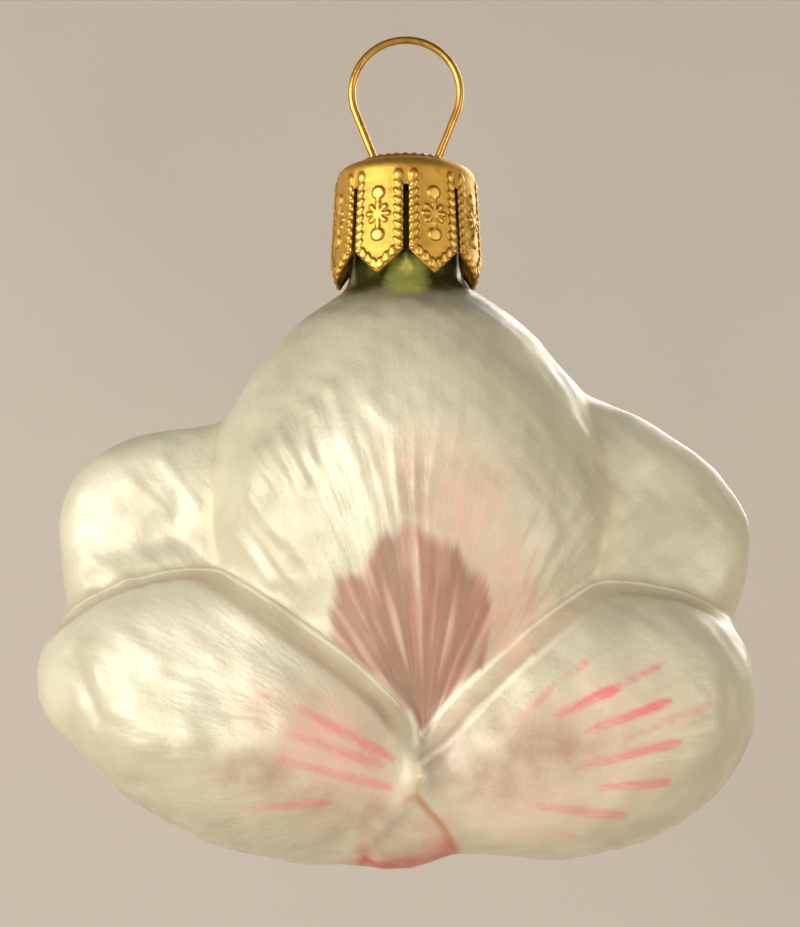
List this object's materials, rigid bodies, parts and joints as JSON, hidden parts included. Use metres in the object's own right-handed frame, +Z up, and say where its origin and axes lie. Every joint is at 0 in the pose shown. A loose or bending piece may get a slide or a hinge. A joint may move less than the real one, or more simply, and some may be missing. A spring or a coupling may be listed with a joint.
{
  "type": "glass orchid ornament",
  "caption": "Hollow blown glass hanging ornament shaped as an orchid blossom, pearl cream with painted pink strokes, under a stamped gold crown cap and a wire loop.",
  "frame": {"origin": "inside top of the wire loop, where it hangs on a hook", "axes": "+Z up along the hanging direction, the blossom faces -Y, +X to the right as seen from the front"},
  "size_m": [0.0636, 0.028, 0.0748],
  "materials": {
    "lacquered_glass": "silvered inside and lacquered pearl cream, satin gloss, with hand-painted pink strokes and a pink-edged lip; opaque",
    "stamped_gold": "thin sheet, gold-coloured, satin field with bright stamped beading",
    "gold_wire": "drawn round wire, gold-coloured, polished"
  },
  "bodies": {
    "root": {"glass_body": "lacquered_glass", "crown_cap": "stamped_gold", "hanger_wire": "gold_wire"}
  },
  "joints": []
}
